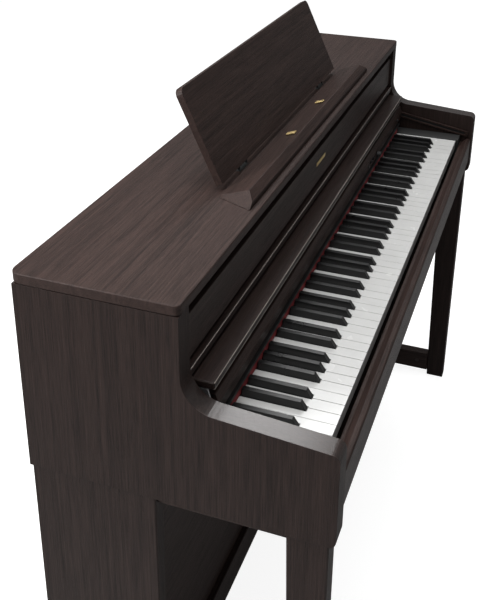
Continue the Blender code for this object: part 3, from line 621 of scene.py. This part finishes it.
class PIANO_OT_finishes(FinishOperator, bpy.types.Operator):
    """Makes the shared effects and every material of the piano"""
    bl_idname = "piano.finishes"
    bl_label = "Finishes"

    def build(self, scene):
        grain_group()
        mottle_group()
        weave_group()
        keys, metal = scene.piano_keys, scene.piano_metal
        # The upright rosewood is darker and the lid's rosewood lighter than the rest of the same foil:
        # painted shade on the upright faces and painted light on the lid.
        wood_material("rosewood_upright_painted_shade", "Z", roughness=0.50, tone_and_painted_light=0.70, edge_along="Y")
        wood_material("rosewood_long", "X")
        wood_material("rosewood_lid_painted_light", "X", roughness=0.46, tone_and_painted_light=1.05)
        wood_material("rosewood_rail", "Y")
        wood_material("rosewood_trim", "X", roughness=0.38, tone_and_painted_light=0.80, coat=0.35)
        wood_material("dark_foil", "X", roughness=0.55, tone_and_painted_light=0.7)
        moulded_material("white_key_resin", keys.white, 0.24, fine=600.0, depth=0.00001, coat=0.15)
        moulded_material("black_key_resin", keys.black, 0.32, fine=900.0, depth=0.00001)
        moulded_material("black_plastic", (0.008, 0.008, 0.0085), 0.50, fine=1600.0, depth=0.00004,
                         specular=0.25)
        moulded_material("grey_plastic", (0.20, 0.20, 0.21), 0.5, fine=1600.0, depth=0.00004)
        moulded_material("display_face", (0.010, 0.012, 0.016), 0.08, fine=300.0, depth=0.0, coat=0.5)
        # The pale edge colour paints the highlights on the thin strips along the board edges.
        moulded_material("painted_edge_highlight", (0.36, 0.31, 0.28), 0.34, fine=900.0, depth=0.00001, specular=0.6)
        moulded_material("brass", metal.brass, 0.22, fine=500.0, depth=0.00001, metallic=1.0)
        moulded_material("satin_brass", metal.brass, 0.48, fine=500.0, depth=0.00002, metallic=1.0)
        moulded_material("chrome", (0.62, 0.62, 0.63), 0.18, fine=500.0, depth=0.0, metallic=1.0)
        moulded_material("brown_plastic", (0.030, 0.020, 0.018), 0.42, fine=1200.0, specular=0.35)
        moulded_material("speaker_paper", (0.016, 0.016, 0.017), 0.80, fine=700.0, depth=0.00006,
                         specular=0.2)
        brushed_material("steel", metal.steel, 0.34, "Y")
        felt_material("red_felt", keys.felt)
        # The near-black cloth paints the shade in the rail slots.
        cloth_material("black_cloth", (0.012, 0.012, 0.012))
        cloth_material("slot_cloth", (0.026, 0.019, 0.017))
        board_material("circuit_board")


class PIANO_OT_case(FinishOperator, bpy.types.Operator):
    """Finishes the cabinet and puts the lid on it"""
    bl_idname = "piano.case"
    bl_label = "Case and lid"

    def build(self, scene):
        edge = scene.piano_wood.edge
        # The side panels get the darker rosewood, whose darkness is painted shade.
        dress(["side_panel_left", "side_panel_right"], finish("rosewood_upright_painted_shade"), edge, 3)
        dress(["upper_front_panel", "nameboard", "key_slip", "music_ledge"],
              finish("rosewood_long"), edge * 0.6)
        dress(["panel_moulding"], finish("rosewood_trim"), edge * 0.5)
        # A thin pale strip along the moulding's front top edge is a painted highlight.
        low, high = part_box("panel_moulding")
        highlight_strip = bmesh.new()
        add_highlight_strip(highlight_strip, low.x, high.x, low.y + HIGHLIGHT_STRIP_INSET, high.z - HIGHLIGHT_STRIP_INSET)
        new_piece("moulding_painted_highlight", highlight_strip, finish("painted_edge_highlight"), "piano")
        dress(["back_panel", "keybed"], finish("dark_foil"))
        dress(["cheek_block_left", "cheek_block_right", "nameboard_trim"], finish("black_plastic"))
        dress(["sound_slot_cloth"], finish("slot_cloth"))
        dress(["nameboard_felt"], finish("red_felt"))
        dress(["emblem_inlay"], finish("satin_brass"))
        low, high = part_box("top_lid")
        bm = bmesh.new()
        outline = rounded_outline(low.x, high.x, low.y, high.y, LID_CORNERS)
        add_slab(bm, outline, Matrix.Translation((0, 0, low.z)), high.z - low.z)
        # The lid's lighter rosewood is painted light.
        lid = new_piece("lid_board", bm, finish("rosewood_lid_painted_light"), "piano")
        soften(lid, edge * 1.2, 3)
        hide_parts("top_lid")
        self.back_screws()

    def back_screws(self):
        """Screws round the back panel: a row along its top and bottom, and two more up each end."""
        low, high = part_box("back_panel")
        left, right = low.x + SCREW_MARGIN, high.x - SCREW_MARGIN
        span = high.x - low.x - 2 * SCREW_MARGIN
        places = []
        for z in (low.z + SCREW_MARGIN, high.z - SCREW_MARGIN):
            places += [(left + span * step / SCREW_GAPS, z) for step in range(SCREW_GAPS + 1)]
        for x in (left, right):
            places += [(x, low.z + (high.z - low.z) * part) for part in (1 / 3, 2 / 3)]
        bm = bmesh.new()
        for x, z in places:
            add_screw(bm, (x, high.y, z), (0, 1, 0), SCREW_RADIUS)
        new_piece("back_screws", bm, finish("steel"), "piano")


class PIANO_OT_keys(FinishOperator, bpy.types.Operator):
    """Finishes the keys, the hammers and the frame they sit on"""
    bl_idname = "piano.keys"
    bl_label = "Keys"

    def build(self, scene):
        edge = scene.piano_keys.edge
        for register in ("bass", "middle", "treble"):
            dress([f"white_keys_{register}"], finish("white_key_resin"), edge)
            dress([f"black_keys_{register}"], finish("black_key_resin"), edge * 1.4)
            dress([f"hammers_{register}"], finish("grey_plastic"))
        dress(["key_frame"], finish("grey_plastic"))


class PIANO_OT_cover(FinishOperator, bpy.types.Operator):
    """Finishes the sliding key cover, its end arms and its rails"""
    bl_idname = "piano.cover"
    bl_label = "Key cover"

    def build(self, scene):
        edge = scene.piano_wood.edge
        dress(["cover_front_board"], finish("rosewood_trim"), edge * 0.5)
        # Two thin pale strips along the board's front edges are painted highlights.
        low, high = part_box("cover_front_board")
        highlight_strip = bmesh.new()
        for z in (low.z + LOWER_HIGHLIGHT_STRIP_RISE, high.z - HIGHLIGHT_STRIP_INSET):
            add_highlight_strip(highlight_strip, low.x + HIGHLIGHT_STRIP_END_GAP, high.x - HIGHLIGHT_STRIP_END_GAP, low.y + HIGHLIGHT_STRIP_INSET, z)
        new_piece("cover_painted_highlights", highlight_strip, finish("painted_edge_highlight"), "key_cover")
        dress(["cover_rear_leaf"], finish("rosewood_long"), edge * 0.5)
        dress(["cover_arm_left", "cover_arm_right"], finish("steel"), 0.0006)
        dress(["cover_rail_left", "cover_rail_right"], finish("rosewood_rail"), 0.0004)
        # A dark strip in each rail's slot is painted shade.
        self.rail_slot_shade_strips()

    def rail_slot_shade_strips(self):
        """A dark strip with a cloth weave along the bottom of each rail's slot, under the cover's pins, that
        paints the shade in the slot.
        """
        shade_strips = bmesh.new()
        axis = joint("key_cover_slide")["axis"]
        slope = math.atan2(-axis[2], -axis[1])
        for side, name in ((-1, "cover_rail_left"), (1, "cover_rail_right")):
            low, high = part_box(name)
            bottom = low.x + RAIL_SLOT_DEPTH if side > 0 else high.x - RAIL_SLOT_DEPTH
            middle = Vector((bottom, (low.y + high.y) / 2, (low.z + high.z) / 2))
            place = Matrix.Translation(middle) @ Matrix.Rotation(slope, 4, "X") @ ON_EDGE
            strip = rounded_outline(*SLOT_SHADE_ENDS, -SLOT_SHADE_HALF_WIDTH, SLOT_SHADE_HALF_WIDTH,
                                    (SLOT_SHADE_CORNER,) * 4, 3)
            add_slab(shade_strips, strip, place, -side * SLOT_SHADE_THICKNESS)
        new_piece("rail_slot_shade_strips", shade_strips, finish("black_cloth"), "piano")


class PIANO_OT_rest(FinishOperator, bpy.types.Operator):
    """Finishes the music rest and makes its hinges"""
    bl_idname = "piano.rest"
    bl_label = "Music rest"

    def build(self, scene):
        dress(["music_rest"], finish("rosewood_long"), scene.piano_wood.edge * 1.2, 3)
        dress(["page_holder_left", "page_holder_right"], finish("satin_brass"), 0.0005)
        hinge = Vector(joint("music_rest_fold")["pos_m"])
        lid_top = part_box("top_lid")[1].z
        plates, pins = bmesh.new(), bmesh.new()
        lug_shape = rounded_outline(hinge.y - LUG_HALF_WIDTH, hinge.y + LUG_HALF_WIDTH,
                                    lid_top + HINGE_THICKNESS, hinge.z + LUG_HALF_WIDTH, LUG_CORNERS, 4)
        for x in HINGES_AT:
            plate = rounded_outline(x - HINGE_HALF_WIDTH, x + HINGE_HALF_WIDTH, hinge.y - HINGE_FRONT,
                                    hinge.y + HINGE_BACK, (HINGE_CORNER,) * 4, 3)
            add_slab(plates, plate, Matrix.Translation((0, 0, lid_top + HINGE_GAP)), HINGE_THICKNESS)
            for end in LUGS_AT:
                place = Matrix.Translation((x + end, 0, 0)) @ ON_EDGE
                add_slab(plates, lug_shape, place, LUG_THICKNESS)
            add_lathe(pins, (x - HINGE_PIN_START, hinge.y, hinge.z), (1, 0, 0), HINGE_PIN_PROFILE, 16)
        new_piece("rest_hinge_plates", plates, finish("black_plastic"), "piano")
        new_piece("rest_hinge_pins", pins, finish("black_plastic"), "music_rest")


class PIANO_OT_controls(FinishOperator, bpy.types.Operator):
    """Finishes the knob, buttons and display, and makes the ribs of the knob"""
    bl_idname = "piano.controls"
    bl_label = "Controls"

    def build(self, scene):
        dress(["tone_button", "power_button"], finish("black_plastic"), 0.0008, 3)
        dress(["display_window"], finish("display_face"))
        low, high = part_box("volume_knob")
        centre = (low + high) / 2
        radius = (high.x - low.x) / 2
        bm = bmesh.new()
        # These heights make the knob taller than its solid, which is a low disc.
        profile = [(radius * 0.80, 0.0), (radius, 0.0008), (radius * 0.96, 0.006), (radius * 0.90, 0.0092),
                   (radius * 0.80, 0.0099), (radius * 0.30, 0.0094)]
        add_lathe(bm, (centre.x, high.y, centre.z), (0, -1, 0), profile, 36)
        for step, vertex in enumerate(bm.verts):
            if step % 2 and vertex.co.y > low.y + 0.001:
                vertex.co += (Vector((centre.x, vertex.co.y, centre.z)) - vertex.co) * 0.06
        knob = new_piece("ribbed_knob", bm, finish("black_plastic"), "volume_knob")
        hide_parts("volume_knob")


class PIANO_OT_stand(FinishOperator, bpy.types.Operator):
    """Finishes the stand"""
    bl_idname = "piano.stand"
    bl_label = "Stand"

    def build(self, scene):
        edge = scene.piano_wood.edge
        # The side boards and legs get the darker rosewood, whose darkness is painted shade.
        dress(["side_board_left", "side_board_right", "front_leg_left", "front_leg_right"],
              finish("rosewood_upright_painted_shade"), edge)
        dress(["foot_rail_left", "foot_rail_right", "top_rail_left", "top_rail_right"],
              finish("rosewood_rail"), edge * 0.6)
        dress(["kick_board", "plinth"], finish("rosewood_long"), edge * 0.6)
        caps = bmesh.new()
        for name in ("foot_rail_left", "foot_rail_right", "top_rail_left", "top_rail_right"):
            low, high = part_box(name)
            inner = low.x if low.x > 0 else high.x
            for y in (low.y + CAP_INSET, high.y - CAP_INSET):
                centre = (inner, y, (low.z + high.z) / 2)
                add_lathe(caps, centre, (-math.copysign(1, inner), 0, 0), CAP_PROFILE, 20)
        new_piece("stand_cam_caps", caps, finish("brown_plastic"), "piano")


class PIANO_OT_pedals(FinishOperator, bpy.types.Operator):
    """Finishes the pedals and what holds them"""
    bl_idname = "piano.pedals"
    bl_label = "Pedals"

    def build(self, scene):
        dress(["pedal_soft", "pedal_sostenuto", "pedal_damper"], finish("brass"), 0.0008)
        dress(["pedal_bracket", "pedal_adjuster"], finish("black_plastic"), 0.0006)


class PIANO_OT_electrics(FinishOperator, bpy.types.Operator):
    """Finishes the speakers, boards and sockets"""
    bl_idname = "piano.electrics"
    bl_label = "Electrics"

    def build(self, scene):
        dress(["speaker_left", "speaker_right", "power_supply"], finish("black_plastic"))
        dress(["main_board"], finish("circuit_board"))
        dress(["headphone_box", "power_inlet"], finish("black_plastic"), 0.0006)
        for side in ("left", "right"):
            self.speaker_front(side)
        self.socket_contacts()

    def speaker_front(self, side):
        """The cone, rubber surround and ring that show through the back panel's hole."""
        low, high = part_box(f"speaker_{side}")
        centre = Vector(((low.x + high.x) / 2, high.y + CONE_GAP, (low.z + high.z) / 2))
        cone = bmesh.new()
        add_lathe(cone, centre, (0, 1, 0), CONE_PROFILE, 48)
        new_piece(f"speaker_cone_{side}", cone, finish("speaker_paper"), "piano")
        rim = bmesh.new()
        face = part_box("back_panel")[1].y
        middle = Vector((centre.x, face, centre.z))
        add_ring(rim, middle, (0, 1, 0), RING_INNER, RING_OUTER, RING_THICKNESS, 48)
        for turn in range(4):
            angle = math.radians(45 + 90 * turn)
            place = (centre.x + RING_SCREWS_OUT * math.cos(angle), face + RING_THICKNESS,
                     centre.z + RING_SCREWS_OUT * math.sin(angle))
            add_screw(rim, place, (0, 1, 0), RING_SCREW_RADIUS)
        new_piece(f"speaker_ring_{side}", rim, finish("black_plastic"), "piano")

    def socket_contacts(self):
        """Blades in the power inlet and threaded rings round the headphone sockets."""
        low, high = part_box("power_inlet")
        middle = (low + high) / 2
        blades = bmesh.new()
        place = Matrix.Translation((0, high.y - BLADE_START, 0)) @ FACING_BACK
        for x, z in BLADES_AT:
            blade = rounded_outline(middle.x + x - BLADE_HALF_WIDTH, middle.x + x + BLADE_HALF_WIDTH,
                                    middle.z + z - BLADE_HALF_HEIGHT, middle.z + z + BLADE_HALF_HEIGHT,
                                    (BLADE_CORNER,) * 4, 2)
            add_slab(blades, blade, place, BLADE_LENGTH)
        new_piece("inlet_blades", blades, finish("chrome"), "piano")
        low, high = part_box("headphone_box")
        rings = bmesh.new()
        for x in SOCKETS_AT:
            centre = Vector(((low.x + high.x) / 2 + x, low.y - SOCKET_RING_THICKNESS, high.z - SOCKET_DROP))
            add_ring(rings, centre, (0, 1, 0), SOCKET_RING_INNER, SOCKET_RING_OUTER,
                     SOCKET_RING_THICKNESS, 28)
        new_piece("headphone_rings", rings, finish("chrome"), "piano")


class PIANO_OT_studio(FinishOperator, bpy.types.Operator):
    """Makes the floor, the light and the camera"""
    bl_idname = "piano.studio"
    bl_label = "Studio"

    def build(self, scene):
        studio = scene.piano_studio
        self.floor()
        self.sky(scene, studio.sky)
        self.area("top_light", studio.top_light, place=(-0.4, 0.5, 3.4), aim=(0.0, 0.0, 0.7), size=3.2)
        self.area("side_light", studio.side_light, place=(-1.9, 1.5, 2.1), aim=(-0.69, 0.24, 0.95), size=0.5)
        self.area("far_light", studio.far_light, place=(1.62, 0.38, 2.75), aim=(-0.5, -0.1, 0.8), size=0.62)
        self.camera(scene, studio.lens)

    def floor(self):
        material, tree, shader, position = surface("studio_floor")
        tone = noise(tree, position, 6.0, detail=3.0)
        link(tree, blended(tree, tone, (0.50, 0.50, 0.50), (0.54, 0.54, 0.54)), shader.inputs["Base Color"])
        shader.inputs["Roughness"].default_value = 0.8
        shader.inputs["Specular IOR Level"].default_value = 0.0
        shader.inputs["Emission Color"].default_value = (1.0, 1.0, 1.0, 1.0)
        path = node(tree, "ShaderNodeLightPath")
        glow = remap(tree, path.outputs["Is Camera Ray"], 0.0, 1.0, FLOOR_GLOW, FLOOR_SEEN)
        link(tree, glow, shader.inputs["Emission Strength"])
        bm = bmesh.new()
        bmesh.ops.create_grid(bm, x_segments=4, y_segments=4, size=FLOOR_HALF_WIDTH)
        mesh = bpy.data.meshes.new("floor")
        bm.to_mesh(mesh)
        bm.free()
        mesh.materials.append(material)
        ground = bpy.data.objects.new("floor", mesh)
        bpy.context.scene.collection.objects.link(ground)
        ground.location = (0, 0, -FLOOR_DROP)

    def sky(self, scene, strength):
        world = bpy.data.worlds.new("studio_sky")
        world.use_nodes = True
        tree = world.node_tree
        background = tree.nodes["Background"]
        background.inputs["Color"].default_value = (1.0, 1.0, 1.0, 1.0)
        path = node(tree, "ShaderNodeLightPath")
        seen = remap(tree, path.outputs["Is Camera Ray"], 0.0, 1.0, strength, SKY_SEEN)
        link(tree, seen, background.inputs["Strength"])
        scene.world = world

    def area(self, name, power, place, aim, size):
        data = bpy.data.lights.new(name, "AREA")
        data.shape = "SQUARE"
        data.size = size
        data.energy = power
        lamp = bpy.data.objects.new(name, data)
        bpy.context.scene.collection.objects.link(lamp)
        lamp.location = place
        lamp.rotation_mode = "QUATERNION"
        lamp.rotation_quaternion = (Vector(aim) - Vector(place)).to_track_quat("-Z", "Y")

    def camera(self, scene, lens):
        data = bpy.data.cameras.new("camera")
        data.lens = lens
        data.sensor_width = SENSOR_WIDTH
        data.shift_y = CAMERA_SHIFT
        made = bpy.data.objects.new("camera", data)
        scene.collection.objects.link(made)
        yaw, pitch, roll = (math.radians(angle) for angle in CAMERA_TURN)
        facing = Vector((math.sin(yaw) * math.cos(pitch), math.cos(yaw) * math.cos(pitch), math.sin(pitch)))
        aim = facing.to_track_quat("-Z", "Y")
        made.rotation_mode = "QUATERNION"
        made.rotation_quaternion = aim @ Matrix.Rotation(roll, 3, "Z").to_quaternion()
        made.location = CAMERA_PLACE
        scene.camera = made


OPERATORS = (PIANO_OT_finishes, PIANO_OT_case, PIANO_OT_keys, PIANO_OT_cover, PIANO_OT_rest,
             PIANO_OT_controls, PIANO_OT_stand, PIANO_OT_pedals, PIANO_OT_electrics, PIANO_OT_studio)
SETTINGS = (("piano_wood", PianoWood), ("piano_keys", PianoKeys), ("piano_metal", PianoMetal),
            ("piano_studio", PianoStudio))


class PIANO_PT_panel(bpy.types.Panel):
    """Lists the piano's sizes, colours and pieces"""
    bl_idname = "PIANO_PT_panel"
    bl_label = "Digital piano"
    bl_space_type = "VIEW_3D"
    bl_region_type = "UI"
    bl_category = "Piano"

    def draw(self, context):
        for name, group in SETTINGS:
            box = self.layout.box()
            box.label(text=group.__doc__)
            for field in group.__annotations__:
                box.prop(getattr(context.scene, name), field)
        for operator in OPERATORS:
            self.layout.operator(operator.bl_idname)


def register():
    for name, group in SETTINGS:
        bpy.utils.register_class(group)
        setattr(bpy.types.Scene, name, bpy.props.PointerProperty(type=group))
    for operator in OPERATORS:
        bpy.utils.register_class(operator)
    bpy.utils.register_class(PIANO_PT_panel)


def unregister():
    bpy.utils.unregister_class(PIANO_PT_panel)
    for operator in reversed(OPERATORS):
        bpy.utils.unregister_class(operator)
    for name, group in reversed(SETTINGS):
        delattr(bpy.types.Scene, name)
        bpy.utils.unregister_class(group)


def main():
    register()
    scene = bpy.context.scene
    scene.view_settings.view_transform = "Standard"
    bpy.ops.piano.finishes()
    bpy.ops.piano.case()
    bpy.ops.piano.keys()
    bpy.ops.piano.cover()
    bpy.ops.piano.rest()
    bpy.ops.piano.controls()
    bpy.ops.piano.stand()
    bpy.ops.piano.pedals()
    bpy.ops.piano.electrics()
    bpy.ops.piano.studio()


if __name__ == "__main__":
    main()
